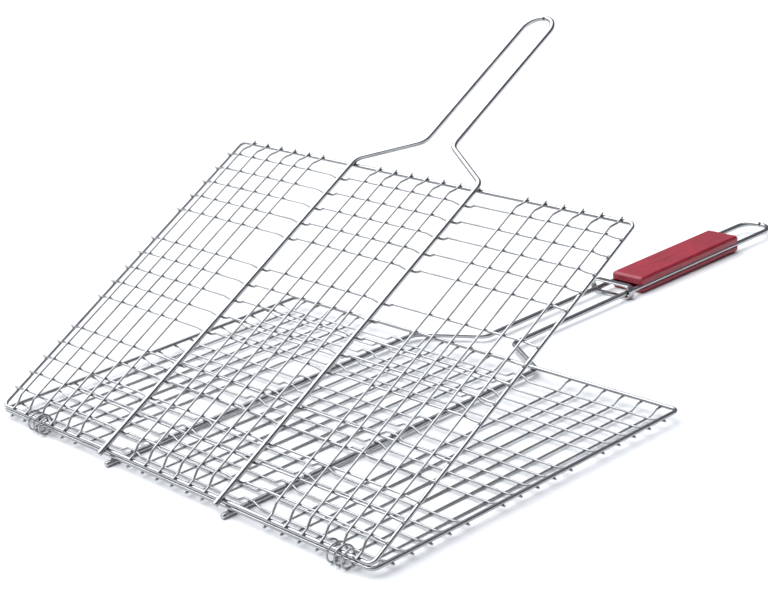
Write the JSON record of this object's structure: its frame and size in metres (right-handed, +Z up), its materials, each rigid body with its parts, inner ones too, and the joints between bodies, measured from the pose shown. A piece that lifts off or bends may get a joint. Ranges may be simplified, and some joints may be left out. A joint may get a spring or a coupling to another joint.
{
  "type": "grill basket",
  "caption": "Folding wire grill basket: two hinged chrome mesh halves with looped wire handles, a sliding lock ring and a red wooden grip, standing open.",
  "frame": {"origin": "The middle of the whole basket's length and width at rest, on the level of the grip's underside, its lowest face.", "axes": "X along the hinge edge, Y from the hinge edge to the end of the lower handle, Z up out of the lower half."},
  "size_m": [0.4036, 0.659, 0.241],
  "materials": {
    "frame_steel": "bright plated steel wire",
    "handle_steel": "bright plated steel wire",
    "mesh_steel": "bright plated steel wire, dull at the welds",
    "coil_steel": "bright plated thin wire",
    "ring_steel": "bright plated steel strip",
    "screw_steel": "plain steel",
    "grip_wood": "red satin paint with the grain showing"
  },
  "bodies": {
    "lower_half": {"lower_frame": "frame_steel", "lower_handle": "handle_steel", "lower_long_band_1": "mesh_steel", "lower_long_band_2": "mesh_steel", "lower_long_band_3": "mesh_steel", "lower_cross_band_1": "mesh_steel", "lower_cross_band_2": "mesh_steel", "lower_cross_band_3": "mesh_steel", "hinge_coil_left": "coil_steel", "hinge_coil_right": "coil_steel", "grip_top_plate": "grip_wood", "grip_base_plate": "grip_wood", "grip_screw_1": "screw_steel", "grip_screw_2": "screw_steel"},
    "upper_half": {"upper_frame": "frame_steel", "upper_handle": "handle_steel", "upper_long_band_1": "mesh_steel", "upper_long_band_2": "mesh_steel", "upper_long_band_3": "mesh_steel", "upper_cross_band_1": "mesh_steel", "upper_cross_band_2": "mesh_steel", "upper_cross_band_3": "mesh_steel"},
    "ring": {"lock_ring": "ring_steel"}
  },
  "joints": [
    {"name": "basket_hinge", "type": "hinge", "parent": "lower_half", "child": "upper_half", "pos_m": [0, -0.3206, 0.01282], "axis": [1, 0, 0], "range_deg": [-29.5, 55.5]},
    {"name": "ring_slide", "type": "slide", "parent": "lower_half", "child": "ring", "axis": [0, 1, 0], "range_m": [-0.12, 0.011]}
  ]
}
